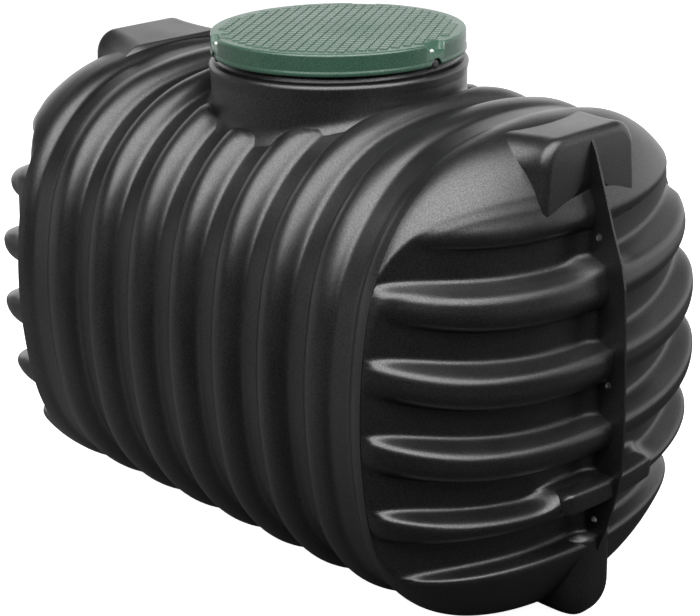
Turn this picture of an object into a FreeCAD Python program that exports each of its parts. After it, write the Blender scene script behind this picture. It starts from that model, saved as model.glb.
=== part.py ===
import FreeCAD, Part
import math
import os

import Sketcher
from FreeCAD import Placement, Rotation, Vector

# Underground cesspool tank: a ribbed oval barrel lying along X, two dished ends with
# horizontal rib courses, an access neck on the crown and a green lift-off lid.
# Millimetres, +Z up, origin under the middle of the barrel at the level of its feet.

DRIVING_SIZES = {
    "barrel_width": 1130,
    "barrel_height": 1136,
    "corner_radius": 420,
    "crown_half_angle": 12,
    "wall": 7,
    "rib_pitch": 157,
    "rib_depth": 32,
    "crest_radius": 70,
    "valley_count": 9,
    "crown_valley_count": 4,
    "foot_drop": 4,
    "end_depth": 249,
    "end_side_round": 155,
    "end_top_round": 360,
    "end_bottom_round": 350,
    "dish_radius": 1900,
    "dish_setback": 48,
    "course_pitch": 157,
    "course_count": 5,
    "top_course_rise": 267,
    "groove_opening": 73,
    "shelf_angle": 15,
    "soffit_angle": 20,
    "shelf_fillet": 10,
    "soffit_fillet": 12,
    "neck_radius": 308,
    "neck_rise": 560,
    "neck_lip_round": 5,
    "neck_seat": 0.2,
    "collar_radius": 284,
    "collar_rise": 618,
    "lid_radius": 300,
    "lid_skirt": 53,
    "lid_plate": 8,
    "lid_shell": 8,
    "lid_seat": 0.4,
    "lid_rim_round": 6,
    "lock_count": 3,
    "lock_width": 56,
    "lock_depth": 26,
    "lock_inset": 6,
    "screw_length": 20,
    "lug_reach": 149,
    "lug_half_width": 128,
    "lug_root_half_width": 176,
    "lug_top_rise": 538,
    "lug_height": 128,
    "lug_round": 40,
    "web_thickness": 8,
    "web_margin": 14,
    "web_top_rise": 536,
    "web_top_reach": 143,
    "web_shoulder_rise": 264,
    "web_heel_drop": 275,
    "web_toe_drop": 521,
    "web_toe_reach": 154,
    "web_hole_radius": 9,
    "web_hole_setoff": 22,
    "web_hole_rise": 45,
    "pad_half_width": 150,
    "pad_height": 75,
    "pad_drop": 225,
    "pad_stand": 10,
    "pad_round": 12,
    "foot_half_width": 75,
    "foot_length": 150,
    "foot_height": 150,
    "foot_round": 30,
}

doc = FreeCAD.newDocument("cesspool_tank")
sheet = doc.addObject("Spreadsheet::Sheet", "Sizes")
for row, (alias, number) in enumerate(DRIVING_SIZES.items(), start=1):
    sheet.set("A%d" % row, alias)
    sheet.set("B%d" % row, str(number))
    sheet.setAlias("B%d" % row, alias)
doc.recompute()


def size(alias):
    return float(sheet.get(alias))


def bind(thing, **expressions):
    for name, expression in expressions.items():
        thing.setExpression(name.replace("__", "."), expression)


half_width = size("barrel_width") / 2
half_height = size("barrel_height") / 2
corner = size("corner_radius")
wall = size("wall")
pitch = size("rib_pitch")
depth = size("rib_depth")
tilt = math.radians(size("crown_half_angle"))
axis_height = half_height + size("foot_drop")
barrel_end = size("valley_count") * pitch / 2
AXIS_Z = "(Sizes.barrel_height / 2 + Sizes.foot_drop)"
BARREL_END = "(Sizes.valley_count * Sizes.rib_pitch / 2)"


# The oval section is tangent arcs: flat arcs on the crown, sides and belly, and tighter
# arcs on the four corners. Returns the flat arcs' radii for a quadrant of given reach.
def flat_radii(reach_y, reach_z, corner_arc):
    sine = math.sin(tilt)
    versine = 1 - math.cos(tilt)
    spare_y = reach_y - corner_arc
    spare_z = reach_z - corner_arc
    span = sine ** 2 - versine ** 2
    crown_arc = (spare_y * sine - spare_z * versine) / span + corner_arc
    side_arc = (spare_z * sine - spare_y * versine) / span + corner_arc
    return crown_arc, side_arc


# One quadrant of the oval, from the crown down to the widest point, as points on its arcs.
def quadrant_points(reach_y, reach_z, corner_arc):
    crown_arc, side_arc = flat_radii(reach_y, reach_z, corner_arc)
    centre_y = (crown_arc - corner_arc) * math.sin(tilt)
    centre_z = reach_z - crown_arc + (crown_arc - corner_arc) * math.cos(tilt)
    places = [(0, reach_z - crown_arc, crown_arc, share * tilt) for share in (0, 0.5, 1)]
    middle = math.pi / 4
    places += [(centre_y, centre_z, corner_arc, angle) for angle in (middle, math.pi / 2 - tilt)]
    places += [(reach_y - side_arc, 0, side_arc, math.pi / 2 - share * tilt) for share in (0.5, 0)]
    return [(y + r * math.sin(angle), z + r * math.cos(angle)) for y, z, r, angle in places]


# A closed oval wire across X: four quadrants, each of three arcs.
def oval_wire(x, reach_y, up, down, corner_share):
    edges = []
    for side, lift, reach_z in ((1, 1, up), (1, -1, down), (-1, -1, down), (-1, 1, up)):
        points = quadrant_points(reach_y, reach_z, corner_share * min(reach_y, reach_z))
        points = [Vector(x, side * y, axis_height + lift * z) for y, z in points]
        if side * lift < 0:
            points.reverse()
        edges += [Part.Arc(*points[start:start + 3]).toShape() for start in (0, 2, 4)]
    return Part.Wire(edges)


# Sketch of one corrugation, crest to crest, with its valley in the middle: crest arcs and
# a valley arc, tangent to each other, with the inner face concentric at the wall's depth.
def corrugation_sketch(body, radius, radius_text, first_valley_text, first_valley):
    plane = next(f for f in body.Origin.OriginFeatures if f.Role == "XZ_Plane")
    sketch = body.newObject("Sketcher::SketchObject", "Corrugation")
    sketch.AttachmentSupport = [(plane, "")]
    sketch.MapMode = "FlatFace"
    slope = 2 * math.atan(depth / (pitch / 2))
    crest = size("crest_radius")
    valley = pitch / 2 / math.sin(slope) - crest
    normal = Vector(0, 0, 1)
    up = math.pi / 2

    def arc(x, y, r, start, end):
        circle = Part.Circle(Vector(x, y, 0), normal, r)
        return sketch.addGeometry(Part.ArcOfCircle(circle, start, end))

    left = first_valley - pitch / 2
    right = first_valley + pitch / 2
    crest_y = radius - crest
    valley_y = radius - depth + valley
    faces = []
    for skin in (0, wall):
        faces.append((arc(left, crest_y, crest - skin, up - slope, up),
                      arc(first_valley, valley_y, valley + skin, -up - slope, -up + slope),
                      arc(right, crest_y, crest - skin, up, up + slope)))
    outer, inner = faces
    ends = []
    for x in (left, right):
        line = Part.LineSegment(Vector(x, radius, 0), Vector(x, radius - wall, 0))
        ends.append(sketch.addGeometry(line))

    def add(*words):
        return sketch.addConstraint(Sketcher.Constraint(*words))

    for first, middle, last in faces:
        add("Tangent", first, 1, middle, 1)
        add("Tangent", middle, 2, last, 2)
    for skin, point in ((outer, 1), (inner, 2)):
        add("Coincident", skin[0], 2, ends[0], point)
        add("Coincident", skin[2], 1, ends[1], point)
    for outer_arc, inner_arc in zip(outer, inner):
        add("Coincident", outer_arc, 3, inner_arc, 3)
    for end, crest_arc in ((ends[0], outer[0]), (ends[1], outer[2])):
        add("Vertical", end)
        add("PointOnObject", crest_arc, 3, end)
    add("Equal", outer[0], outer[2])
    driven = [
        (add("Radius", outer[0], crest), "Sizes.crest_radius"),
        (add("Radius", inner[0], crest - wall), "Sizes.crest_radius - Sizes.wall"),
        (add("DistanceX", outer[0], 3, outer[1], 3, pitch / 2), "Sizes.rib_pitch / 2"),
        (add("DistanceX", outer[1], 3, outer[2], 3, pitch / 2), "Sizes.rib_pitch / 2"),
        (add("DistanceY", -1, 1, ends[0], 1, radius), radius_text),
        (add("DistanceX", -1, 1, outer[1], 3, first_valley), first_valley_text),
        (add("Radius", outer[1], valley),
         "Sizes.rib_pitch / 2 / sin(2 * atan(2 * Sizes.rib_depth / Sizes.rib_pitch))"
         " - Sizes.crest_radius"),
    ]
    for index, expression in driven:
        sketch.setExpression("Constraints[%d]" % index, expression)
    return sketch


SINE = "sin(Sizes.crown_half_angle * 1 deg)"
VERSINE = "(1 - cos(Sizes.crown_half_angle * 1 deg))"
SPARE_Y = "(Sizes.barrel_width / 2 - Sizes.corner_radius)"
SPARE_Z = "(Sizes.barrel_height / 2 - Sizes.corner_radius)"
FLAT_ARC = "((%s * %s - %s * %s) / (%s ^ 2 - %s ^ 2) + Sizes.corner_radius)"
CROWN_ARC = FLAT_ARC % (SPARE_Y, SINE, SPARE_Z, VERSINE, SINE, VERSINE)
SIDE_ARC = FLAT_ARC % (SPARE_Z, SINE, SPARE_Y, VERSINE, SINE, VERSINE)
crown_arc, side_arc = flat_radii(half_width, half_height, corner)
corner_y = (crown_arc - corner) * math.sin(tilt)
corner_z = half_height - crown_arc + (crown_arc - corner) * math.cos(tilt)


# A stave of the barrel: the corrugation turned about its own arc's axis and repeated along X,
# ending at the barrel's near end.
def stave(name, facing, radius, radius_text, centre, spread, run=None):
    body = doc.addObject("PartDesign::Body", name)
    count_alias = run or "valley_count"
    count_text = "Sizes." + count_alias
    first = barrel_end - (size(count_alias) - 0.5) * pitch
    first_text = "%s - (%s - 0.5) * Sizes.rib_pitch" % (BARREL_END, count_text)
    sketch = corrugation_sketch(body, radius, radius_text, first_text, first)
    turn = body.newObject("PartDesign::Revolution", "Turn")
    turn.Profile = sketch
    turn.ReferenceAxis = (sketch, ["H_Axis"])
    turn.Midplane = True
    turn.setExpression("Angle", spread)
    ribs = body.newObject("PartDesign::LinearPattern", "Ribs")
    ribs.Originals = [turn]
    ribs.Direction = (sketch, ["H_Axis"])
    bind(ribs, Length="(%s - 1) * Sizes.rib_pitch" % count_text, Occurrences=count_text)
    body.Tip = ribs
    y, z = centre
    body.Placement = Placement(Vector(0, y, axis_height + z), Rotation(Vector(1, 0, 0), -facing))
    return body


def cut(name, base, tool):
    thing = doc.addObject("Part::Cut", name)
    thing.Base = base
    thing.Tool = tool
    thing.Refine = True
    return thing


# Rounds the edges of a simple solid that lie at its greatest reach along one direction.
def rounded(name, base, radius, direction, along=None):
    doc.recompute()
    shape = base.Shape
    far = max(edge.CenterOfMass.dot(direction) for edge in shape.Edges)
    chosen = []
    for index, edge in enumerate(shape.Edges, start=1):
        lies_far = abs(edge.CenterOfMass.dot(direction) - far) < 0.001
        runs = along is None or abs(edge.tangentAt(edge.FirstParameter).dot(along)) > 0.999
        if lies_far and runs:
            chosen.append((index, radius, radius))
    thing = doc.addObject("Part::Fillet", name)
    thing.Base = base
    thing.Edges = chosen
    return thing


def cylinder(name, radius, height, base_z):
    thing = doc.addObject("Part::Cylinder", name)
    bind(thing, Radius=radius, Height=height, Placement__Base__z=base_z)
    return thing


nodes = []


def node(thing, label):
    thing.Label = label
    nodes.append(thing)
    return thing


# The neck's hole through the crown and shoulders.
neck_hole = cylinder("neck_hole", "Sizes.neck_radius + Sizes.neck_seat",
                     "Sizes.barrel_height", AXIS_Z)
flat_spread = "2 * Sizes.crown_half_angle"
corner_spread = "90 - 2 * Sizes.crown_half_angle"
crown = stave("crown_stave", 0, crown_arc, CROWN_ARC, (0, half_height - crown_arc), flat_spread,
              run="crown_valley_count")
crown_near = node(cut("crown_near_cut", crown, neck_hole), "crown_near")
for name, side in (("front", -1), ("back", 1)):
    shoulder = stave(name + "_shoulder_stave", side * 45, corner, "Sizes.corner_radius",
                     (side * corner_y, corner_z), corner_spread)
    node(cut(name + "_shoulder_cut", shoulder, neck_hole), "shoulder_" + name)
    node(stave(name + "_side_stave", side * 90, side_arc, SIDE_ARC,
               (side * (half_width - side_arc), 0), flat_spread), "side_" + name)
    node(stave(name + "_bilge_stave", side * 135, corner, "Sizes.corner_radius",
               (side * corner_y, -corner_z), corner_spread), "bilge_" + name)
node(stave("belly_stave", 180, crown_arc, CROWN_ARC, (0, crown_arc - half_height), flat_spread), "belly")


# Share of its full rounding that the end's outline has drawn in at a share of its depth.
def drawn_in(share, power):
    return 1 - (1 - share ** power) ** (1 / power)


SIDE_POWER = 3
TOP_POWER = 1.8
BOTTOM_POWER = 2
STATION_ANGLES = (0, 18, 36, 52, 66, 78, 90)
end_depth = size("end_depth")
end_face = barrel_end + end_depth
corner_share = corner / min(half_width, half_height)


# The end's smooth envelope, a loft of ovals that draw in towards a flat end face.
def end_envelope(skin):
    wires = []
    for angle in STATION_ANGLES:
        share = math.sin(math.radians(angle))
        reach = half_width - skin - size("end_side_round") * drawn_in(share, SIDE_POWER)
        up = half_height - skin - size("end_top_round") * drawn_in(share, TOP_POWER)
        down = half_height - skin - size("end_bottom_round") * drawn_in(share, BOTTOM_POWER)
        x = barrel_end + share * (end_depth - skin)
        wires.append(oval_wire(x, reach, up, down, corner_share))
    return Part.makeLoft(wires, True, False)


# Closed outline in the XZ plane with each corner rounded by its own radius.
def rounded_outline(corners):
    edges = []
    previous = None
    first = None
    count = len(corners)
    for index in range(count):
        here = corners[index][0]
        before = (corners[index - 1][0] - here).normalize()
        after = (corners[(index + 1) % count][0] - here).normalize()
        radius = corners[index][1]
        half_turn = before.getAngle(after) / 2
        start = here
        end = here
        if radius:
            run = radius / math.tan(half_turn)
            start = here + before * run
            end = here + after * run
            bisector = (before + after).normalize()
            centre = here + bisector * (radius / math.sin(half_turn))
            middle = centre - bisector * radius
        if previous:
            edges.append(Part.LineSegment(previous, start).toShape())
        if radius:
            edges.append(Part.Arc(start, middle, end).toShape())
        first = first or start
        previous = end
    edges.append(Part.LineSegment(previous, first).toShape())
    return Part.Face(Part.Wire(edges))


TURN_SPREAD = 50
GROOVE_MOUTH = 60


def course_height(index):
    return axis_height + size("top_course_rise") - index * size("course_pitch")


# How far the dish, on which the grooves' back walls lie, reaches at a height.
def dish_reach(z):
    dish = size("dish_radius")
    return end_face - size("dish_setback") - dish + math.sqrt(dish ** 2 - (z - axis_height) ** 2)


# One groove above a rib course: a shelf that falls outwards, a back wall on the dish and a
# soffit that rises outwards, turned about an upright axis behind the dish.
def groove(index, skin):
    course_z = course_height(index)
    back_x = dish_reach(course_z) - skin
    shelf = math.tan(math.radians(size("shelf_angle")))
    soffit = math.tan(math.radians(size("soffit_angle")))
    mouth_x = end_face + GROOVE_MOUTH
    shelf_drop = skin / math.cos(math.radians(size("shelf_angle")))
    soffit_lift = skin / math.cos(math.radians(size("soffit_angle")))
    shelf_z = course_z - shelf_drop
    soffit_z = course_z + size("groove_opening") + soffit_lift
    back_low = shelf_z + (end_face - back_x) * shelf
    back_high = soffit_z - (end_face - back_x) * soffit
    most_round = (back_high - back_low) / 2
    corners = [
        (Vector(mouth_x, 0, shelf_z - (mouth_x - end_face) * shelf), 0),
        (Vector(back_x, 0, back_low), min(size("shelf_fillet") + skin, most_round)),
        (Vector(back_x, 0, back_high), min(size("soffit_fillet") + skin, most_round)),
        (Vector(mouth_x, 0, soffit_z + (mouth_x - end_face) * soffit), 0),
    ]
    axis_foot = Vector(end_face - size("dish_setback") - size("dish_radius"), 0, 0)
    face = rounded_outline(corners)
    face.rotate(axis_foot, Vector(0, 0, 1), -TURN_SPREAD / 2)
    return face.revolve(axis_foot, Vector(0, 0, 1), TURN_SPREAD)


def end_solid(skin):
    courses = range(int(size("course_count")))
    return end_envelope(skin).cut([groove(index, skin) for index in courses])


outer_end = end_solid(0)
end_shell = outer_end.cut(end_solid(wall))
SPAN = 4000
# The upper panel ends at the back wall of the top groove.
panel_z = axis_height + size("top_course_rise") + size("groove_opening") / 2


def slab(y, z, across, tall):
    return Part.makeBox(SPAN, across, tall, Vector(0, y, z))


def feature(name, shape):
    thing = doc.addObject("Part::Feature", name)
    thing.Shape = shape
    return thing


near = {}
near["end_panel"] = feature("near_panel_shell", end_shell.common(slab(-SPAN, panel_z, 2 * SPAN, SPAN)))
near["end_front"] = feature("near_front_shell", end_shell.common(slab(-SPAN, panel_z - SPAN, SPAN, SPAN)))
near["end_back"] = feature("near_back_shell", end_shell.common(slab(0, panel_z - SPAN, SPAN, SPAN)))
end_block = feature("end_block", outer_end)


# Lifting lug: a tapered block on the end's brow with rounded top corners.
def lug_block():
    top = axis_height + size("lug_top_rise")
    low = top - size("lug_height")
    root = size("lug_root_half_width")
    crest = size("lug_half_width")
    reach = size("lug_reach")
    points = [Vector(barrel_end, y, z) for y, z in ((-root, low), (root, low), (crest, top), (-crest, top))]
    face = Part.Face(Part.makePolygon(points + points[:1]))
    block = face.extrude(Vector(reach, 0, 0))
    upright = [e for e in block.Edges if e.BoundBox.XLength > reach / 2 and e.BoundBox.ZMin > (low + top) / 2]
    return block.makeFillet(size("lug_round"), upright)


lug = feature("lug_block", lug_block())
near["lug"] = cut("near_lug_cut", lug, end_block)

pad_box = doc.addObject("Part::Box", "pad_box")
bind(pad_box, Length="Sizes.end_depth / 2 + Sizes.pad_stand", Width="2 * Sizes.pad_half_width",
     Height="Sizes.pad_height", Placement__Base__x=BARREL_END + " + Sizes.end_depth / 2",
     Placement__Base__y="-Sizes.pad_half_width",
     Placement__Base__z=AXIS_Z + " - Sizes.pad_drop - Sizes.pad_height")
pad_block = rounded("pad_block", pad_box, size("pad_round"), Vector(1, 0, 0))
near["pad"] = cut("near_pad_cut", pad_block, end_block)

foot_box = doc.addObject("Part::Box", "foot_box")
bind(foot_box, Length="Sizes.foot_length", Width="2 * Sizes.foot_half_width", Height="Sizes.foot_height",
     Placement__Base__x=BARREL_END, Placement__Base__y="-Sizes.foot_half_width", Placement__Base__z="0")
foot_block = rounded("foot_block", foot_box, size("foot_round"), Vector(1, 0, 0), Vector(0, 0, 1))
near["foot"] = cut("near_foot_cut", foot_block, end_block)


HOLE_EVERY = 2


# Web along the mould seam: a thin plate in the middle plane that follows the end's outline,
# with a round hole in every second groove.
def web_plate():
    outline = [
        (size("web_top_reach") - end_depth, size("web_top_rise")),
        (size("web_margin"), size("web_shoulder_rise")),
        (size("web_margin"), -size("web_heel_drop")),
        (size("web_toe_reach") - end_depth, -size("web_toe_drop")),
        (-end_depth, 0),
    ]
    half = size("web_thickness") / 2
    points = [Vector(end_face + x, -half, axis_height + z) for x, z in outline]
    plate = Part.Face(Part.makePolygon(points + points[:1])).extrude(Vector(0, 2 * half, 0))
    for index in range(0, int(size("course_count")), HOLE_EVERY):
        hole_z = course_height(index) + size("web_hole_rise")
        hole_x = dish_reach(hole_z) + size("web_hole_setoff")
        plate = plate.cut(Part.makeCylinder(size("web_hole_radius"), 2 * half, Vector(hole_x, -half, hole_z),
                                            Vector(0, 1, 0)))
    return plate


web = feature("web_plate", web_plate())
for tool_name, tool in (("end", end_block), ("lug", near["lug"]), ("pad", near["pad"]), ("foot", near["foot"])):
    web = cut("web_less_" + tool_name, web, tool)
near["seam_web"] = web

for name, thing in near.items():
    node(thing, "near_" + name)
    mirror = doc.addObject("Part::Mirroring", "far_%s_mirror" % name)
    mirror.Source = thing
    mirror.Base = Vector(0, 0, 0)
    mirror.Normal = Vector(1, 0, 0)
    node(mirror, "far_" + name)
crown_mirror = doc.addObject("Part::Mirroring", "crown_far_mirror")
crown_mirror.Source = crown_near
crown_mirror.Normal = Vector(1, 0, 0)
node(crown_mirror, "crown_far")

# Neck: an upright wall with a rounded lip, stepped in to the collar that the lid sits on,
# and trimmed below where it meets the barrel's inside.
core_skin = depth + wall
core = feature("barrel_core", Part.Face(oval_wire(
    -barrel_end, half_width - core_skin, half_height - core_skin, half_height - core_skin,
    (corner - core_skin) / (min(half_width, half_height) - core_skin))).extrude(Vector(2 * barrel_end, 0, 0)))
neck_wall = cylinder("neck_wall", "Sizes.neck_radius", "Sizes.neck_rise", AXIS_Z)
collar_wall = cylinder("collar_wall", "Sizes.collar_radius", "Sizes.collar_rise", AXIS_Z)
neck_room = cylinder("neck_room", "Sizes.neck_radius - Sizes.wall", "Sizes.neck_rise - Sizes.wall", AXIS_Z)
collar_room = cylinder("collar_room", "Sizes.collar_radius - Sizes.wall", "Sizes.collar_rise * 2", AXIS_Z)
neck_mass = doc.addObject("Part::Fuse", "neck_mass")
neck_mass.Base = rounded("neck_lip", neck_wall, size("neck_lip_round"), Vector(0, 0, 1))
neck_mass.Tool = collar_wall
neck_tube = cut("neck_tube", cut("neck_open", neck_mass, neck_room), collar_room)
neck = node(cut("neck_trimmed", neck_tube, core), "neck")

# Lid: a flat plate with a skirt that hangs round the collar, notched for its lock screws.
LID_UNDERSIDE = "(%s + Sizes.collar_rise + Sizes.lid_seat)" % AXIS_Z
LID_SKIRT_FOOT = "(%s + Sizes.lid_plate - Sizes.lid_skirt)" % LID_UNDERSIDE
lid_mass = cylinder("lid_mass", "Sizes.lid_radius", "Sizes.lid_skirt", LID_SKIRT_FOOT)
lid_room = cylinder("lid_room", "Sizes.lid_radius - Sizes.lid_shell", "Sizes.lid_skirt - Sizes.lid_plate",
                    LID_SKIRT_FOOT)
lid_block = rounded("lid_block", lid_mass, size("lid_rim_round"), Vector(0, 0, 1))
lid = cut("lid_shell_cut", lid_block, lid_room)
for index in range(int(size("lock_count"))):
    turn = Rotation(Vector(0, 0, 1), index * 360 / size("lock_count"))
    notch_box = doc.addObject("Part::Box", "lock_notch_%d" % index)
    bind(notch_box, Length="2 * Sizes.lock_inset", Width="Sizes.lock_width", Height="Sizes.lock_depth")
    corner_place = Vector(size("lid_radius") - size("lock_inset"), -size("lock_width") / 2, 0)
    notch_box.Placement = Placement(turn.multVec(corner_place), turn)
    notch_box.setExpression("Placement.Base.z", LID_SKIRT_FOOT)
    lid = cut("lid_notched_%d" % index, lid, notch_box)
    screw = cylinder("lock_screw_%d" % index, "Sizes.lock_inset / 2", "Sizes.screw_length",
                     LID_SKIRT_FOOT + " + Sizes.lock_depth - Sizes.screw_length")
    place = turn.multVec(Vector(size("lid_radius") - size("lock_inset") / 2, 0, 0))
    screw.Placement = Placement(place, turn)
    screw.setExpression("Placement.Base.z", LID_SKIRT_FOOT + " + Sizes.lock_depth - Sizes.screw_length")
    node(screw, "lid_screw_%d" % (index + 1))
node(lid, "lid")

doc.recompute()
for thing in doc.Objects:
    if "Invalid" in thing.State or "Error" in thing.State:
        raise RuntimeError("%s failed: %s" % (thing.Label, thing.State))
os.makedirs("parts", exist_ok=True)
for thing in nodes:
    shape = thing.Shape
    if shape.isNull() or not shape.isValid() or not shape.Solids:
        raise RuntimeError("%s has no sound solid" % thing.Label)
for thing in nodes:
    thing.Shape.exportStep("parts/%s.step" % thing.Label)
    box = thing.Shape.BoundBox
    print("%-16s solids %d volume %.0f x %.0f..%.0f y %.0f..%.0f z %.0f..%.0f" % (
        thing.Label, len(thing.Shape.Solids), thing.Shape.Volume, box.XMin, box.XMax,
        box.YMin, box.YMax, box.ZMin, box.ZMax))
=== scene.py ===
import math

import bmesh
import bpy
import numpy as np
from mathutils import Matrix, Vector


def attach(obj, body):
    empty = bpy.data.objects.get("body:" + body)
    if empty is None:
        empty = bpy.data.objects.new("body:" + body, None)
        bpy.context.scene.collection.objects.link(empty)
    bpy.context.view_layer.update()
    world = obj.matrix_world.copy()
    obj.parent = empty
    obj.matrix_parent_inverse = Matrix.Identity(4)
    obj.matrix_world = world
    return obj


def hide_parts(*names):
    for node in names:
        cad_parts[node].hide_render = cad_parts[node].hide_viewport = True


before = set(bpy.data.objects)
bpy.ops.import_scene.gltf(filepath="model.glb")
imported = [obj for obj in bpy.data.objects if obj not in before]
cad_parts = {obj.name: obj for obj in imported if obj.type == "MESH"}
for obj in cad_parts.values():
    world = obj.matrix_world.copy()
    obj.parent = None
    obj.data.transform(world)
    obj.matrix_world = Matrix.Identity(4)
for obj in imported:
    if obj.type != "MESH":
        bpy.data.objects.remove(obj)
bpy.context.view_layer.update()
scene = bpy.context.scene
scene.view_settings.view_transform = "Standard"

# Sizes that several pieces share, in metres. Heights count from the barrel's axis. The shape is
# the photograph's, drawn at the share of its size at which the lid's top stays a small margin over
# the CAD model's box. It is shorter and narrower than the CAD model, so most pieces lie inside
# the nodes that they replace.
tank = {
    "share": 0.986,
    "axis": 0.578,
    "halfWidth": 0.544,
    "halfHeight": 0.570,
    "corner": 0.410,       # radius of the oval's four corners
    "tilt": math.radians(12),
    "pitch": 0.1507,       # of the barrel's ribs
    "rim": 0.6028,         # where barrel and ends meet
    "wall": 0.007,
    "weld": 2e-6,          # points nearer than this are one point
}

# The oval section is tangent arcs, flat on crown, sides and belly and tighter on the corners.
sine = math.sin(tank["tilt"])
versine = 1 - math.cos(tank["tilt"])
spareY = tank["halfWidth"] - tank["corner"]
spareZ = tank["halfHeight"] - tank["corner"]
crownArc = (spareY * sine - spareZ * versine) / (sine ** 2 - versine ** 2) + tank["corner"]
sideArc = (spareZ * sine - spareY * versine) / (sine ** 2 - versine ** 2) + tank["corner"]
cornerY = (crownArc - tank["corner"]) * sine
cornerZ = tank["halfHeight"] - crownArc + (crownArc - tank["corner"]) * math.cos(tank["tilt"])


# Point of the oval whose normal leans by an angle from the crown, 0 on top and pi below.
def ovalAt(angle):
    folded = np.where(angle > math.pi / 2, math.pi - angle, angle)
    onCrown = folded < tank["tilt"]
    onSide = folded > math.pi / 2 - tank["tilt"]
    radius = np.where(onCrown, crownArc, np.where(onSide, sideArc, tank["corner"]))
    centreY = np.where(onCrown, 0, np.where(onSide, tank["halfWidth"] - sideArc, cornerY))
    centreZ = np.where(onCrown, tank["halfHeight"] - crownArc, np.where(onSide, 0, cornerZ))
    y = centreY + radius * np.sin(folded)
    z = centreZ + radius * np.cos(folded)
    return y, np.where(angle > math.pi / 2, -z, z)


# Half width of the oval at a height.
def ovalReach(z):
    high = np.abs(z)
    side = tank["halfWidth"] - sideArc + np.sqrt(sideArc ** 2 - high ** 2)
    corner = cornerY + np.sqrt(np.maximum(tank["corner"] ** 2 - (high - cornerZ) ** 2, 0))
    crown = np.sqrt(np.maximum(crownArc ** 2 - (high - tank["halfHeight"] + crownArc) ** 2, 0))
    topStart = tank["halfHeight"] - crownArc * versine
    return np.where(high < sideArc * sine, side, np.where(high < topStart, corner, crown))


# Height of the oval's upper half over a place across it.
def ovalTop(y):
    out = np.abs(y)
    crown = tank["halfHeight"] - crownArc + np.sqrt(crownArc ** 2 - out ** 2)
    corner = cornerZ + np.sqrt(np.maximum(tank["corner"] ** 2 - (out - cornerY) ** 2, 0))
    return np.where(out < crownArc * sine, crown, corner)


# Values of a finely sampled line at places evenly spread along its length.
def evenly(values, steps, count):
    length = np.concatenate([[0], np.cumsum(steps)])
    return np.interp(np.linspace(0, length[-1], count), length, values)


def gridQuads(rows, cols, closed=False):
    i = np.arange(rows - 1)[:, None]
    j = np.arange(cols if closed else cols - 1)[None, :]
    k = (j + 1) % cols
    corners = (i * cols + j, i * cols + k, (i + 1) * cols + k, (i + 1) * cols + j)
    return np.stack(corners, -1).reshape(-1, 4)


# Faces are turned so that they look away from a point inside the piece.
def facingOut(points, faces, inside):
    arms = points[faces] - np.asarray(inside)
    volume = np.einsum("ij,ij->i", arms[:, 0], np.cross(arms[:, 1], arms[:, 2])).sum()
    return faces if volume > 0 else faces[:, ::-1]


def makePiece(name, points, faces, inside, body, material, nodes=()):
    lift = np.array([0, 0, tank["axis"]])
    points = (points.reshape(-1, 3) + lift) * tank["share"]
    faces = facingOut(points, faces, (np.asarray(inside) + lift) * tank["share"])
    data = bpy.data.meshes.new(name)
    data.from_pydata(points.tolist(), [], faces.tolist())
    shape = bmesh.new()
    shape.from_mesh(data)
    bmesh.ops.remove_doubles(shape, verts=shape.verts, dist=tank["weld"])
    shape.to_mesh(data)
    shape.free()
    data.polygons.foreach_set("use_smooth", np.ones(len(data.polygons), bool))
    data.materials.append(material)
    piece = bpy.data.objects.new(name, data)
    scene.collection.objects.link(piece)
    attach(piece, body)
    if nodes:
        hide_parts(*nodes)
    return piece


# Wall thickness inwards. Open edges are marked sharp, so that the rim doesn't shade the face.
def thicken(piece, depth):
    data = piece.data
    loopEdges = np.zeros(len(data.loops), int)
    data.loops.foreach_get("edge_index", loopEdges)
    data.edges.foreach_set("use_edge_sharp", np.bincount(loopEdges, minlength=len(data.edges)) == 1)
    shell = piece.modifiers.new("wall", "SOLIDIFY")
    shell.thickness = depth
    shell.offset = -1


# Rings of points, closed round, with each end drawn in to its middle.
def ringPiece(name, rings, inside, body, material, nodes=()):
    first = np.broadcast_to(rings[0].mean(0), rings[:1].shape)
    last = np.broadcast_to(rings[-1].mean(0), rings[:1].shape)
    rings = np.concatenate([first, rings, last])
    faces = gridQuads(rings.shape[0], rings.shape[1], closed=True)
    return makePiece(name, rings, faces, inside, body, material, nodes)


def flipX(points):
    return points * np.array([-1.0, 1.0, 1.0])


# Camera at the photograph's place, fitted to the tank's outline, rib lines and lid.
cameraSettings = {
    "place": (3.0413, -2.9347, 1.5458 + tank["axis"]),
    "yaw": -45.813,      # degrees from +Y, towards -X
    "pitch": -20.357,
    "roll": -1.085,
    "lens": 93.56,       # millimetres
    "sensor": 36,
}


def makeCamera(settings):
    yaw, pitch, roll = (math.radians(settings[k]) for k in ("yaw", "pitch", "roll"))
    level = math.cos(pitch)
    ahead = Vector((math.sin(yaw) * level, math.cos(yaw) * level, math.sin(pitch)))
    right = ahead.cross(Vector((0, 0, 1))).normalized()
    up = right.cross(ahead)
    across = right * math.cos(roll) + up * math.sin(roll)
    upward = up * math.cos(roll) - right * math.sin(roll)
    turn = Matrix((across, upward, -ahead)).transposed()
    data = bpy.data.cameras.new("tankCamera")
    data.lens = settings["lens"]
    data.sensor_width = settings["sensor"]
    camera = bpy.data.objects.new("tankCamera", data)
    place = Vector(settings["place"]) * tank["share"]
    camera.matrix_world = Matrix.Translation(place) @ turn.to_4x4()
    scene.collection.objects.link(camera)
    scene.camera = camera


makeCamera(cameraSettings)
print("camera set")

# One large soft lamp high on the camera's side, and a dim world that the camera sees as white.
lampSettings = {
    "width": 8.6,
    "depth": 4.4,
    "place": (1.55, -1.35, 4.2),
    "aim": (0, 0, 0.6),
    "power": 600.0,
    "world": 0.03,
}


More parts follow.
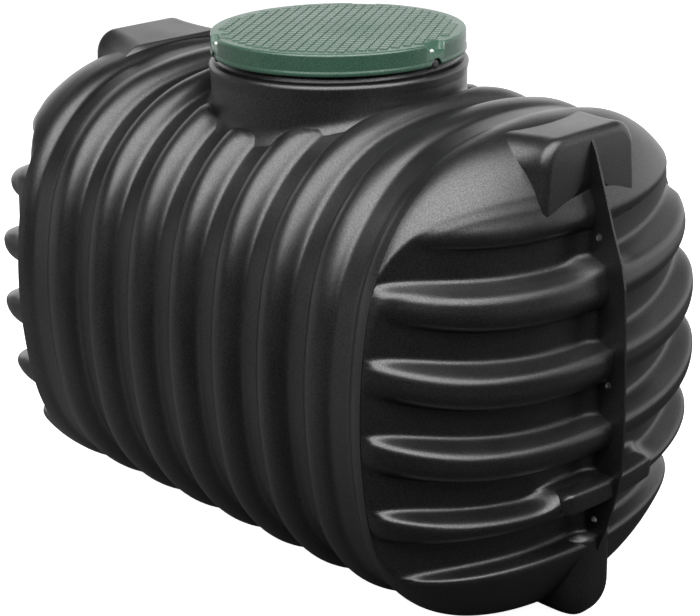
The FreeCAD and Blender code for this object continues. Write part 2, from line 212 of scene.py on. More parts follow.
def makeLight(settings):
    data = bpy.data.lights.new("overheadSoftbox", "AREA")
    data.shape = "RECTANGLE"
    data.size = settings["width"]
    data.size_y = settings["depth"]
    data.energy = settings["power"]
    lamp = bpy.data.objects.new("overheadSoftbox", data)
    lamp.location = settings["place"]
    ahead = Vector(settings["aim"]) - lamp.location
    lamp.rotation_euler = ahead.to_track_quat("-Z", "Y").to_euler()
    scene.collection.objects.link(lamp)


def makeWorld(settings):
    world = bpy.data.worlds.new("paleStudio")
    world.use_nodes = True
    nodes, links = world.node_tree.nodes, world.node_tree.links
    background = nodes["Background"]
    path = nodes.new("ShaderNodeLightPath")
    strength = nodes.new("ShaderNodeMix")
    strength.inputs["A"].default_value = settings["world"]
    strength.inputs["B"].default_value = 1.0
    background.inputs["Color"].default_value = (1, 1, 1, 1)
    links.new(path.outputs["Is Camera Ray"], strength.inputs["Factor"])
    links.new(strength.outputs["Result"], background.inputs["Strength"])
    scene.world = world


makeLight(lampSettings)
makeWorld(lampSettings)
print("light set")


# Moulded grain: a fine speckle, given as a bump and as a mask, and a broad mottle.
grainSettings = {
    "speckleDetail": 2.0,
    "mottleScale": 7.0,
    "mottleDetail": 5.0,
    "bumpStrength": 0.5,
    "speckleLow": 0.36,
    "speckleHigh": 0.64,
}


def makeGrainGroup(s):
    group = bpy.data.node_groups.new("mouldedGrain", "ShaderNodeTree")
    group.interface.new_socket("Fine", in_out="INPUT", socket_type="NodeSocketFloat")
    group.interface.new_socket("Height", in_out="INPUT", socket_type="NodeSocketFloat")
    group.interface.new_socket("Mottle", in_out="OUTPUT", socket_type="NodeSocketFloat")
    group.interface.new_socket("Speckle", in_out="OUTPUT", socket_type="NodeSocketFloat")
    group.interface.new_socket("Normal", in_out="OUTPUT", socket_type="NodeSocketVector")
    nodes, links = group.nodes, group.links
    given = nodes.new("NodeGroupInput")
    out = nodes.new("NodeGroupOutput")
    place = nodes.new("ShaderNodeTexCoord")
    speckle = nodes.new("ShaderNodeTexNoise")
    speckle.inputs["Detail"].default_value = s["speckleDetail"]
    mottle = nodes.new("ShaderNodeTexNoise")
    mottle.inputs["Scale"].default_value = s["mottleScale"]
    mottle.inputs["Detail"].default_value = s["mottleDetail"]
    bump = nodes.new("ShaderNodeBump")
    bump.inputs["Strength"].default_value = s["bumpStrength"]
    contrast = nodes.new("ShaderNodeMapRange")
    contrast.inputs["From Min"].default_value = s["speckleLow"]
    contrast.inputs["From Max"].default_value = s["speckleHigh"]
    links.new(place.outputs["Object"], speckle.inputs["Vector"])
    links.new(place.outputs["Object"], mottle.inputs["Vector"])
    links.new(given.outputs["Fine"], speckle.inputs["Scale"])
    links.new(given.outputs["Height"], bump.inputs["Distance"])
    links.new(speckle.outputs["Fac"], bump.inputs["Height"])
    links.new(mottle.outputs["Fac"], out.inputs["Mottle"])
    links.new(speckle.outputs["Fac"], contrast.inputs["Value"])
    links.new(contrast.outputs["Result"], out.inputs["Speckle"])
    links.new(bump.outputs["Normal"], out.inputs["Normal"])
    return group


grainGroup = makeGrainGroup(grainSettings)

# A moulded plastic: tone follows speckle and mottle, gloss the speckle and roughness the mottle.
plasticSettings = {
    "speckleShare": 0.75,
    "mottleShare": 0.25,
    "mottleLow": 0.3,
    "mottleHigh": 0.7,
    "smoother": 0.03,
    "rougher": 0.05,
    "glossLow": 0.66,
    "glossHigh": 0.98,
}


def makePlastic(name, dark, pale, roughness, fine, height):
    material = bpy.data.materials.new(name)
    material.use_nodes = True
    nodes, links = material.node_tree.nodes, material.node_tree.links
    shader = nodes["Principled BSDF"]
    grain = nodes.new("ShaderNodeGroup")
    grain.node_tree = grainGroup
    grain.inputs["Fine"].default_value = fine
    grain.inputs["Height"].default_value = height
    blend = nodes.new("ShaderNodeMath")
    blend.operation = "MULTIPLY_ADD"
    blend.inputs[1].default_value = plasticSettings["speckleShare"]
    tone = nodes.new("ShaderNodeMix")
    tone.data_type = "RGBA"
    tone.inputs["A"].default_value = (*dark, 1)
    tone.inputs["B"].default_value = (*pale, 1)
    sheen = nodes.new("ShaderNodeMapRange")
    sheen.inputs["From Min"].default_value = plasticSettings["mottleLow"]
    sheen.inputs["From Max"].default_value = plasticSettings["mottleHigh"]
    sheen.inputs["To Min"].default_value = roughness - plasticSettings["smoother"]
    sheen.inputs["To Max"].default_value = roughness + plasticSettings["rougher"]
    mottlePart = nodes.new("ShaderNodeMath")
    mottlePart.operation = "MULTIPLY"
    mottlePart.inputs[1].default_value = plasticSettings["mottleShare"]
    gloss = nodes.new("ShaderNodeMapRange")
    gloss.inputs["To Min"].default_value = plasticSettings["glossLow"]
    gloss.inputs["To Max"].default_value = plasticSettings["glossHigh"]
    links.new(grain.outputs["Speckle"], blend.inputs[0])
    links.new(grain.outputs["Mottle"], mottlePart.inputs[0])
    links.new(mottlePart.outputs["Value"], blend.inputs[2])
    links.new(blend.outputs["Value"], tone.inputs["Factor"])
    links.new(tone.outputs["Result"], shader.inputs["Base Color"])
    links.new(grain.outputs["Mottle"], sheen.inputs["Value"])
    links.new(sheen.outputs["Result"], shader.inputs["Roughness"])
    links.new(grain.outputs["Speckle"], gloss.inputs["Value"])
    links.new(gloss.outputs["Result"], shader.inputs["Specular IOR Level"])
    links.new(grain.outputs["Normal"], shader.inputs["Normal"])
    return material


moulded = {"roughness": 0.37, "fine": 330.0, "height": 0.0004}
blackPe = makePlastic("blackPe", (0.001, 0.001, 0.001), (0.008, 0.008, 0.008), **moulded)
greenPe = makePlastic("greenPe", (0.014, 0.046, 0.029), (0.032, 0.088, 0.058), **moulded)
plated = {"roughness": 0.3, "fine": 900.0, "height": 0.0001}
zincMetallic = 0.6
zincScrew = makePlastic("zincScrew", (0.62, 0.62, 0.6), (0.8, 0.8, 0.78), **plated)
zincScrew.node_tree.nodes["Principled BSDF"].inputs["Metallic"].default_value = zincMetallic

# Barrel: the oval carried along X, sunk between the ribs. A rib's section is a round crest, a
# steep flank and a flat valley with a small fillet. Ribs end in blunt noses at the neck.
barrelSettings = {
    "crestRadius": 0.045,
    "filletRadius": 0.012,
    "flankAngle": math.radians(58),
    "ribDepth": 0.034,
    "lastShare": 0.45,     # depth of the valley next to each end, as a share of the others
    "lastFrom": 3,         # pitches from the neck's axis
    "noseStart": 0.303,    # from the neck's axis
    "noseRun": 0.042,
    "holeRadius": 0.300,
    "ringsRound": 101,
    "stepsAlong": 225,
    "fineAlong": 20001,
    "fineRound": 8001,
}


def ribDrop(x, s):
    pitch = tank["pitch"]
    away = np.abs(x - pitch * np.round(x / pitch))
    sinF, cosF = math.sin(s["flankAngle"]), math.cos(s["flankAngle"])
    crest, fillet = s["crestRadius"], s["filletRadius"]
    crestEnd = crest * sinF
    crestDrop = crest * (1 - cosF)
    flankDrop = s["ribDepth"] - crestDrop - fillet * (1 - cosF)
    flankEnd = crestEnd + flankDrop / math.tan(s["flankAngle"])
    filletEnd = flankEnd + fillet * sinF
    onCrest = crest - np.sqrt(np.maximum(crest ** 2 - away ** 2, 0))
    onFlank = crestDrop + (away - crestEnd) * math.tan(s["flankAngle"])
    filletRise = fillet - np.sqrt(np.maximum(fillet ** 2 - (filletEnd - away) ** 2, 0))
    onFillet = s["ribDepth"] - filletRise
    drop = np.where(away < crestEnd, onCrest, np.where(away < flankEnd, onFlank, onFillet))
    drop = np.where(away > filletEnd, s["ribDepth"], drop)
    return np.where(np.abs(x) > s["lastFrom"] * pitch, drop * s["lastShare"], drop)


def makeBarrel(name, nodes, s):
    fineX = np.linspace(-tank["rim"], tank["rim"], s["fineAlong"])
    x = evenly(fineX, np.hypot(np.diff(fineX), np.diff(ribDrop(fineX, s))), s["stepsAlong"])
    fineAngle = np.linspace(0, math.pi, s["fineRound"])
    fineY, fineZ = ovalAt(fineAngle)
    half = evenly(fineAngle, np.hypot(np.diff(fineY), np.diff(fineZ)), s["ringsRound"])
    angle = np.concatenate([half, half[-2:0:-1]])[:, None]
    side = np.concatenate([-np.ones(len(half)), np.ones(len(half) - 2)])[:, None]
    y, z = ovalAt(angle)
    share = np.clip((np.hypot(x[None, :], y) - s["noseStart"]) / s["noseRun"], 0, 1)
    nose = np.where(z > 0, np.sqrt(1 - (1 - share) ** 2), 1)
    drop = s["ribDepth"] - (s["ribDepth"] - ribDrop(x, s)[None, :]) * nose
    wallY = side * (y - drop * np.sin(angle))
    wallZ = z - drop * np.cos(angle)
    points = np.stack([x[None, :] + 0 * drop, wallY, wallZ], -1)
    flat = points.transpose(1, 0, 2).reshape(-1, 3)
    reach = np.hypot(flat[:, 0], flat[:, 1])
    inHole = (reach < s["holeRadius"]) & (flat[:, 2] > 0)
    faces = gridQuads(len(x), len(angle), closed=True)
    faces = faces[~inHole[faces].all(1)]
    flat[inHole, :2] *= (s["holeRadius"] / np.maximum(reach[inHole], 1e-6))[:, None]
    used = np.unique(faces)
    order = np.zeros(len(flat), int)
    order[used] = np.arange(len(used))
    piece = makePiece(name, flat[used], order[faces], (0, 0, 0), "tank", blackPe, nodes)
    thicken(piece, tank["wall"])


barrelNodes = ("shoulder_front", "side_front", "bilge_front", "shoulder_back", "side_back",
               "bilge_back", "belly", "crown_near", "crown_far")
makeBarrel("barrel", barrelNodes, barrelSettings)
print("barrel made")

# Ends: a dome whose plan is a flattened ellipse on the oval's width at each height, cut back
# in grooves that rise a little at their tips. Each groove has a back wall turned about an upright
# axis, a shelf below it that slopes out to a round crest, and a soffit above it that rolls into
# the face.
capSettings = {
    "depth": 0.245,
    "planPower": 1.9,
    "topPower": 2.0,
    "bottomPower": 2.5,
    "courses": (0.262, 0.089, -0.080, -0.240, -0.372),    # crest heights at the seam
    "smiles": (0.042, 0.054, 0.054, 0.046, 0.017),         # rise of each crest towards the sides
    "smileReach": 0.5,
    "smilePower": 3.0,
    "opening": 0.088,      # from a crest up to the end of the roll above it
    "setback": 0.058,
    "shelfAngle": math.radians(17),
    "soffitAngle": math.radians(35),
    "crestRound": 0.020,
    "innerRound": 0.015,
    "roll": 0.050,
    "blend": 0.006,
    "tipAhead": 0.008,
    # Where a crest is lifted at the seam: rise, half width and run-out.
    "swells": ((0.014, 0.02, 0.07), None, None, (0.026, 0.14, 0.06), None),
    "seamFillet": 0.03,
    "rows": 471,
    "columns": 91,
    "softRows": 0.8,
    "columnPasses": 2,
    "fineRows": 12001,
    "rowsAt": 0.12,        # plan angle of the line that the rows are spread along
    "insideX": 0.55,
}


def domeDepth(z, s):
    power = np.where(z > 0, s["topPower"], s["bottomPower"])
    share = np.clip(np.abs(z) / tank["halfHeight"], 0, 1)
    return s["depth"] * np.maximum(1 - share ** power, 0) ** (1 / power)


# Depth of a groove below the dome at a height over its crest: nothing under the crest, a round
# edge, the shelf's slope, a hollow corner and then the full depth.
def shelfCut(rise, depth, s):
    slope = math.tan(s["shelfAngle"])
    sine = math.sin(s["shelfAngle"])
    reach = math.tan((math.pi / 2 - s["shelfAngle"]) / 2)
    crest, inner = s["crestRound"], s["innerRound"]
    crestRun, innerRun = crest * reach, inner * reach
    corner = depth * slope
    onCrest = crest - np.sqrt(np.maximum(crest ** 2 - (rise + crestRun) ** 2, 0))
    onInner = depth - inner + np.sqrt(np.maximum(inner ** 2 - (rise - corner - innerRun) ** 2, 0))
    cut = np.where(rise < crestRun * sine, onCrest, rise / slope)
    cut = np.where(rise > corner - innerRun * sine, np.minimum(cut, onInner), cut)
    cut = np.where(rise > corner + innerRun, depth, cut)
    return np.where(rise < -crestRun, 0, np.clip(cut, 0, depth))


# Depth that the soffit allows at a height over its lower edge: a quarter round, then a slope.
def soffitCut(rise, s):
    share = np.clip(1 - rise / s["roll"], 0, 1)
    rolled = s["roll"] * (1 - np.sqrt(1 - share ** 2))
    return np.where(rise > 0, rolled, s["roll"] - rise / math.tan(s["soffitAngle"]))


# Smooth dome cut by the grooves, for heights down the rows and plan angles along the columns.
def cappedDome(z, turn, s):
    z = z + 0 * turn
    x = tank["rim"] + domeDepth(z, s) * np.maximum(np.cos(turn), 0) ** (2 / s["planPower"])
    y = ovalReach(z) * np.sign(turn) * np.abs(np.sin(turn)) ** (2 / s["planPower"])
    for course, smile, swell in zip(s["courses"], s["smiles"], s["swells"]):
        middle = np.array(course + s["opening"] / 2)
        backX = tank["rim"] + float(domeDepth(middle, s)) - s["setback"]
        run = backX - tank["rim"] - s["tipAhead"]
        radius = (float(ovalReach(middle + smile)) ** 2 + run ** 2) / (2 * run)
        pivot = backX - radius
        out = np.hypot(x - pivot, y)
        level = course + smile * (np.abs(y) / s["smileReach"]) ** s["smilePower"]
        low = level
        if swell:
            rise, half, reach = swell
            ease = np.clip((half + reach - np.abs(y)) / reach, 0, 1)
            low = level + rise * ease ** 2 * (3 - 2 * ease)
        back = radius + s["seamFillet"] * (1 - np.clip(np.abs(y) / s["seamFillet"], 0, 1)) ** 2
        depth = np.maximum(out - back, 0)
        cut = np.minimum(shelfCut(z - low, depth, s), soffitCut(z - level - s["opening"], s))
        cut = (cut + depth - np.sqrt((cut - depth) ** 2 + s["blend"] ** 2)) / 2 + s["blend"] / 2
        cut = np.where(z - low < -s["crestRound"], 0, np.minimum(cut, shelfCut(z - low, depth, s)))
        share = (out - np.clip(cut, 0, depth)) / out
        x = pivot + (x - pivot) * share
        y = y * share
    return x, y, z


# Weighted mean of each row with its neighbours, which rounds the edges that run along rows.
def softened(values, spread):
    reach = int(math.ceil(3 * spread))
    weights = np.exp(-0.5 * (np.arange(-reach, reach + 1) / spread) ** 2)
    weights = weights / weights.sum()
    padded = np.concatenate([np.repeat(values[:1], reach, 0), values, np.repeat(values[-1:], reach, 0)])
    rows = len(values)
    total = sum(w * padded[i:i + rows] for i, w in enumerate(weights))
    total[0], total[-1] = values[0], values[-1]
    return total


def capPoints(s):
    fineZ = tank["halfHeight"] * np.cos(np.linspace(0, math.pi, s["fineRows"]))
    fineX = cappedDome(fineZ[:, None], np.full((1, 1), s["rowsAt"]), s)[0][:, 0]
    z = evenly(fineZ, np.hypot(np.diff(fineX), np.diff(fineZ)), s["rows"])[:, None]
    turn = np.linspace(-math.pi / 2, math.pi / 2, s["columns"])[None, :]
    x, y, z = cappedDome(z, turn, s)
    x, y, z = (softened(v, s["softRows"]) for v in (x, y, z))
    for _ in range(s["columnPasses"]):
        x[:, 1:-1] = (x[:, :-2] + 2 * x[:, 1:-1] + x[:, 2:]) / 4
        y[:, 1:-1] = (y[:, :-2] + 2 * y[:, 1:-1] + y[:, 2:]) / 4
    return np.stack([x, y, z], -1)


# The far end shows only its outline, which is fuller than the near one's.
farCapSettings = dict(capSettings, planPower=2.7, topPower=2.5, setback=0.032, crestRound=0.03, roll=0.06)
for endName, flip, endSettings in (("near", 1.0, capSettings), ("far", -1.0, farCapSettings)):
    capGrid = capPoints(endSettings) * np.array([flip, 1.0, 1.0])
    capFaces = gridQuads(*capGrid.shape[:2])
    capNodes = [endName + tail for tail in ("_end_front", "_end_back", "_end_panel")]
    capInside = (flip * endSettings["insideX"], 0, 0)
    capPiece = makePiece(endName + "Cap", capGrid, capFaces, capInside, "tank", blackPe,
                         capNodes)
    thicken(capPiece, tank["wall"])
print("ends made")

# Lug: an arch-topped block along X, wider at its root, with a rounded edge round its face.
lugSettings = {
    "root": 0.590,
    "face": 0.7587,
    "halfWidth": 0.150,
    "rootSpread": 0.055,
    "foot": 0.36,
    "lean": 0.012,
    "top": 0.564,
    "rootTop": 0.560,
    "corner": 0.058,
    "rootCorner": 0.085,
    "edge": 0.020,
    "spreadPower": 1.5,
    "cornerShare": 0.5,    # of the edge's inset, taken off the corner's radius
    "stations": 24,
    "edgeSteps": 6,
    "flankSteps": 11,
    "arcPoints": 13,
    "inside": (0.68, 0, 0.45),
}


def lugRings(s):
    along = np.linspace(0, 1, s["stations"])
    turn = np.linspace(0, math.pi / 2, s["edgeSteps"] + 1)[1:]
    station = np.concatenate([along, np.ones(len(turn))])[:, None]
    inset = np.concatenate([np.zeros(len(along)), s["edge"] * (1 - np.cos(turn))])[:, None]
    x = s["root"] + (s["face"] - s["edge"] - s["root"]) * station
    x = x + np.concatenate([np.zeros(len(along)), s["edge"] * np.sin(turn)])[:, None]
    half = s["halfWidth"] + s["rootSpread"] * (1 - station) ** s["spreadPower"] - inset
    top = s["top"] + (s["rootTop"] - s["top"]) * (1 - station) - inset
    corner = s["corner"] + (s["rootCorner"] - s["corner"]) * (1 - station) - s["cornerShare"] * inset
    arc = np.linspace(0, math.pi / 2, s["arcPoints"])[None, :]
    rise = np.linspace(0, 1, s["flankSteps"] + 1)[None, :-1]
    flankZ = s["foot"] + (top - corner - s["foot"]) * rise
    flankY = half + s["lean"] * (1 - rise) + 0 * x
    arcY = half - corner + corner * np.cos(arc)
    arcZ = top - corner + corner * np.sin(arc)
    y = np.concatenate([flankY, arcY], 1)
    z = np.concatenate([flankZ, arcZ], 1)
    y = np.concatenate([-y, y[:, ::-1]], 1)
    z = np.concatenate([z, z[:, ::-1]], 1)
    return np.stack([x + 0 * y, y, z], -1)


farLugSettings = dict(lugSettings, top=0.592, rootTop=0.575)
nearLug = lugRings(lugSettings)
farLug = flipX(lugRings(farLugSettings))
lugInside = np.array(lugSettings["inside"])
ringPiece("nearLug", nearLug, lugInside, "tank", blackPe, ("near_lug",))
ringPiece("farLug", farLug, flipX(lugInside), "tank", blackPe, ("far_lug",))
print("lugs made")

# Seam web: a thin plate in the middle plane, its edge a line through measured places, with holes.
webSettings = {
    "edge": ((0.752, 0.557), (0.768, 0.524), (0.780, 0.487), (0.798, 0.432), (0.819, 0.364),
             (0.846, 0.288), (0.857, 0.234), (0.862, 0.145), (0.866, 0.031), (0.868, -0.086),
             (0.866, -0.182), (0.858, -0.238), (0.843, -0.292), (0.829, -0.342), (0.813, -0.385),
             (0.796, -0.436), (0.782, -0.500)),
    "root": ((0.640, -0.500), (0.640, 0.0), (0.640, 0.540)),
    "holes": ((0.786, 0.337), (0.823, 0.007), (0.797, -0.326)),
    "holeRadius": 0.009,
    "half": 0.0035,
    "bevel": 0.001,
    "bevelSteps": 2,
    "holePoints": 24,
    "insideX": 0.7,
}


def webMesh(name, s):
    curve = bpy.data.curves.new(name, "CURVE")
    curve.dimensions = "2D"
    curve.fill_mode = "BOTH"
    curve.extrude = s["half"] - s["bevel"]
    curve.bevel_depth = s["bevel"]
    curve.bevel_resolution = s["bevelSteps"]
    turn = np.linspace(0, 2 * math.pi, s["holePoints"] + 1)[:-1]
    circles = [np.stack([x + s["holeRadius"] * np.cos(turn), z + s["holeRadius"] * np.sin(turn)], -1)
               for x, z in s["holes"]]
    for outline in [np.array(s["edge"] + s["root"])] + circles:
        spline = curve.splines.new("POLY")
        spline.points.add(len(outline) - 1)
        flat = np.concatenate([outline, np.zeros((len(outline), 1)), np.ones((len(outline), 1))], 1)
        spline.points.foreach_set("co", flat.ravel())
        spline.use_cyclic_u = True
    holder = bpy.data.objects.new(name, curve)
    scene.collection.objects.link(holder)
    bpy.context.view_layer.update()
    mesh = bpy.data.meshes.new_from_object(holder.evaluated_get(bpy.context.evaluated_depsgraph_get()))
    points = np.zeros(len(mesh.vertices) * 3)
    mesh.vertices.foreach_get("co", points)
    bpy.data.objects.remove(holder)
    mesh.calc_loop_triangles()
    faces = np.zeros(len(mesh.loop_triangles) * 3, int)
    mesh.loop_triangles.foreach_get("vertices", faces)
    return points.reshape(-1, 3)[:, [0, 2, 1]], faces.reshape(-1, 3)


webPoints, webFaces = webMesh("seamWebOutline", webSettings)
for endName, flip in (("near", 1.0), ("far", -1.0)):
    sidePoints = webPoints * np.array([flip, 1.0, 1.0])
    webInside = (flip * webSettings["insideX"], 0, 0)
    webPiece = makePiece(endName + "SeamWeb", sidePoints, webFaces, webInside, "tank", blackPe,
                         (endName + "_seam_web",))
    webPiece.data.polygons.foreach_set("use_smooth", np.zeros(len(webPiece.data.polygons), bool))
print("webs made")

# Pad: a bar on the fourth course with a squarish superellipse section and rounded tips, bent back
# by the square of the place across.
padSettings = {
    "front": 0.850,
    "depth": 0.09,
    "half": 0.152,
    "top": -0.205,
    "height": 0.052,
    "round": 0.018,
    "bend": 1.0,
    "sectionPower": 0.28,
    "stations": 33,
    "sectionPoints": 48,
    "inside": (0.81, 0, -0.237),
}


def padRings(s):
    turn = np.linspace(0, 2 * math.pi, s["sectionPoints"] + 1)[:-1][None, :]
    share = np.linspace(-1, 1, s["stations"])[:, None]
    y = s["half"] * share
    tip = np.clip((np.abs(y) - s["half"] + s["round"]) / s["round"], 0, 1)
    ease = np.sqrt(np.maximum(1 - tip ** 2, 0))
    inset = s["round"] * (1 - ease)
    cosT, sinT = np.cos(turn), np.sin(turn)
    power = s["sectionPower"]
    halfX = s["depth"] / 2 - inset
    halfZ = s["height"] / 2 - inset
    middleX = s["front"] - s["depth"] / 2 - y ** 2 / (2 * s["bend"])
    x = middleX + halfX * np.sign(cosT) * np.abs(cosT) ** power
    z = s["top"] - s["height"] / 2 + halfZ * np.sign(sinT) * np.abs(sinT) ** power
    return np.stack([x, y + 0 * x, z], -1)


nearPad = padRings(padSettings)
padInside = np.array(padSettings["inside"])
ringPiece("nearPad", nearPad, padInside, "tank", blackPe, ("near_pad",))
ringPiece("farPad", flipX(nearPad), flipX(padInside), "tank", blackPe, ("far_pad",))
print("pads made")

# Foot: a boss with a superellipse for its plan, drawn in along a quarter round to a flat sole.
footSettings = {
    "centre": 0.690,
    "halfLength": 0.118,
    "halfWidth": 0.075,
    "sole": -0.578,
    "top": -0.36,
    "round": 0.085,
    "insetShare": 0.7,
    "planPower": 0.6,
    "ringPower": 1.5,      # crowds the rings towards the sole
    "rings": 22,
    "columns": 72,
    "inside": (0.70, 0, -0.45),
}


def footRings(s):
    turn = np.linspace(0, 2 * math.pi, s["columns"] + 1)[:-1][None, :]
    rise = np.linspace(0, 1, s["rings"])[:, None] ** s["ringPower"]
    z = s["sole"] + (s["top"] - s["sole"]) * rise
    up = np.clip((z - s["sole"]) / s["round"], 0, 1)
    inset = s["round"] * (1 - np.sqrt(1 - (1 - up) ** 2)) * s["insetShare"]
    cosT, sinT = np.cos(turn), np.sin(turn)
    x = s["centre"] + (s["halfLength"] - inset) * np.sign(cosT) * np.abs(cosT) ** s["planPower"]
    y = (s["halfWidth"] - inset) * np.sign(sinT) * np.abs(sinT) ** s["planPower"]
    return np.stack([x, y, z + 0 * x], -1)


nearFoot = footRings(footSettings)
footInside = np.array(footSettings["inside"])
ringPiece("nearFoot", nearFoot, footInside, "tank", blackPe, ("near_foot",))
ringPiece("farFoot", flipX(nearFoot), flipX(footInside), "tank", blackPe, ("far_foot",))
print("feet made")

# Neck: a wall turned about the upright axis, flared at its foot where it meets the crown, with a
# rounded lip and a step in to the collar inside the lid.
neckSettings = {
    "wallRadius": 0.303,
    "lipRadius": 0.3065,
    "lipTop": 0.6115,
    "lipRound": 0.011,
    "lipFall": 0.028,
    "collarRadius": 0.284,
    "collarTop": 0.652,
    "flare": 0.034,
    "sink": 0.009,
    "inside": 0.007,
    "cornerCut": 0.003,    # where the lip steps up to the collar
    "tuck": 0.02,          # of the inner wall, below the crown
    "columns": 240,
    "arcPoints": 9,
    "wallSteps": 6,
    "middle": (0, 0, 0.55),
}


def neckRings(s):
    turn = np.linspace(0, 2 * math.pi, s["columns"] + 1)[:-1][None, :]
    wall, lip = s["wallRadius"], s["lipRadius"]
    bend = np.linspace(0, math.pi / 2, s["arcPoints"])[:, None]
    flareRadius = wall + s["flare"] * (1 - np.sin(bend)) + 0 * turn
    ground = ovalTop(flareRadius * np.sin(turn)) - barrelSettings["ribDepth"] - s["sink"]
    flareZ = ground + s["flare"] * (1 - np.cos(bend))
    upper = s["lipTop"] - s["lipFall"]
    rise = np.linspace(0, 1, s["wallSteps"] + 1)[1:, None]
    wallZ = flareZ[-1:] + (upper - flareZ[-1:]) * rise
    arc = np.linspace(0, math.pi / 2, s["arcPoints"])[:, None]
    lipR = lip - s["lipRound"] + s["lipRound"] * np.cos(arc) + 0 * turn
    lipZ = s["lipTop"] - s["lipRound"] + s["lipRound"] * np.sin(arc) + 0 * turn
    outer = s["collarRadius"]
    inner = outer - s["inside"]
    collar = np.array([[outer + s["cornerCut"], s["lipTop"]], [outer, s["lipTop"] + s["cornerCut"]],
                       [outer, s["collarTop"]], [inner, s["collarTop"]],
                       [inner, s["lipTop"] - s["inside"]],
                       [wall - s["inside"], s["lipTop"] - 2 * s["inside"]]])
    innerR, innerZ = (collar[:, k:k + 1] + 0 * turn for k in (0, 1))
    floorZ = ovalTop((wall - s["inside"]) * np.sin(turn)) - barrelSettings["ribDepth"] - s["tuck"]
    radius = np.concatenate([flareRadius, wall + 0 * wallZ, lipR, innerR, wall - s["inside"] + 0 * floorZ,
                             flareRadius[:1]])
    z = np.concatenate([flareZ, wallZ, lipZ, innerZ, floorZ, flareZ[:1]])
    return np.stack([radius * np.cos(turn), radius * np.sin(turn), z], -1)


neckGrid = neckRings(neckSettings)
neckFaces = gridQuads(*neckGrid.shape[:2], closed=True)
makePiece("neckWall", neckGrid, neckFaces, neckSettings["middle"], "tank", blackPe, ("neck",))
print("neck made")

# Lid: a plate and skirt turned about the upright axis, with a plain rim. At each lock the rim is
# let down into a pocket, and the skirt's foot is arched over the lock.
lidSettings = {
    "radius": 0.300,
    "top": 0.6807,
    "foot": 0.6299,
    "edge": 0.006,
    "plate": 0.008,
    "shell": 0.008,
    "lip": 0.0015,
    "lipHeight": 0.009,
    "locks": (3.0, 123.0, 243.0),
    "pocketHalf": 0.029,
    "pocketInner": 0.284,
    "pocketFloor": 0.6627,
    "pocketSkin": 0.004,
    "arch": 0.018,
    "plateRings": (0.0, 0.15, 0.27, 0.2835, 0.2845),
    "undersideRings": (0.15, 0.0),
    "step": 0.002,         # between the rings that keep the skirt's shading upright
    "edgePoints": 7,
    "columns": 720,
    "inside": (0, 0, 0.676),
}


def lidRings(s):
    turn = np.linspace(0, 2 * math.pi, s["columns"] + 1)[:-1][None, :]
    bend = np.linspace(0, math.pi / 2, s["edgePoints"])
    top, radius, edge, step = s["top"], s["radius"], s["edge"], s["step"]
    under = top - s["plate"]
    wall = radius - s["shell"]
    lipZ = s["foot"] + s["lipHeight"]
    profile = [(r, top) for r in s["plateRings"]]
    profile += [(radius - edge + edge * math.sin(a), top - edge + edge * math.cos(a)) for a in bend]
    profile += [(radius, top - edge - step), (radius, s["pocketFloor"]), (radius, lipZ + 2 * step)]
    profile += [(radius, lipZ + step), (radius + s["lip"], lipZ), (radius + s["lip"], s["foot"] + step)]
    profile += [(radius, s["foot"]), (wall, s["foot"]), (wall, under)]
    profile += [(r, under) for r in s["undersideRings"]]
    underEdge = -1 - len(s["undersideRings"])
    line = np.array(profile)
    r = line[:, :1] + 0 * turn
    z = line[:, 1:] + 0 * turn
    for lock in s["locks"]:
        away = np.abs((turn - math.radians(lock) + math.pi) % (2 * math.pi) - math.pi) * radius
        inPocket = (away < s["pocketHalf"]) & (r > s["pocketInner"]) & (z > s["pocketFloor"])
        z = np.where(inPocket, s["pocketFloor"], z)
        pocketUnder = s["pocketFloor"] - s["pocketSkin"]
        z[underEdge] = np.where(away[0] < s["pocketHalf"], pocketUnder, z[underEdge])
        archZ = s["foot"] + np.sqrt(np.maximum(s["arch"] ** 2 - away ** 2, 0))
        z = np.where(r > radius - 2 * s["shell"], np.maximum(z, archZ), z)
    return np.stack([r * np.cos(turn), r * np.sin(turn), z], -1)


lidGrid = lidRings(lidSettings)
lidFaces = gridQuads(*lidGrid.shape[:2], closed=True)
makePiece("lidPlate", lidGrid, lidFaces, lidSettings["inside"], "lid", greenPe, ("lid",))
print("lid made")

# Tread: low square blocks in strips, parted by narrow gaps and cut short at the plain rim.
treadSettings = {
    "along": math.radians(123),
    "cell": 0.0220,
    "gap": 0.0034,
    "crossGap": 0.0062,
    "reach": 0.281,
    "shortest": 0.004,
    "height": 0.0030,
    "bedded": 0.0003,
    "bevel": 0.0008,
    "inside": (0, 0, 0.6),
}


# Blocks with one direction and width, each drawn in a little at its top.
def boxField(centre, along, across, halfLength, halfWidth, base, s):
    layers = []
    for z, less in ((base, 0.0), (base + s["height"], s["bevel"])):
        for a, b in ((-1, -1), (1, -1), (1, 1), (-1, 1)):
            spot = centre + a * along * (halfLength - less)[:, None] + b * across * (halfWidth - less)
            layers.append(np.concatenate([spot, np.full((len(centre), 1), z)], 1))
    points = np.stack(layers, 1)
    box = np.array([(0, 3, 2, 1), (4, 5, 6, 7), (0, 1, 5, 4), (1, 2, 6, 5), (2, 3, 7, 6), (3, 0, 4, 7)])
    faces = (np.arange(len(centre))[:, None, None] * 8 + box[None]).reshape(-1, 4)
    return points.reshape(-1, 3), faces


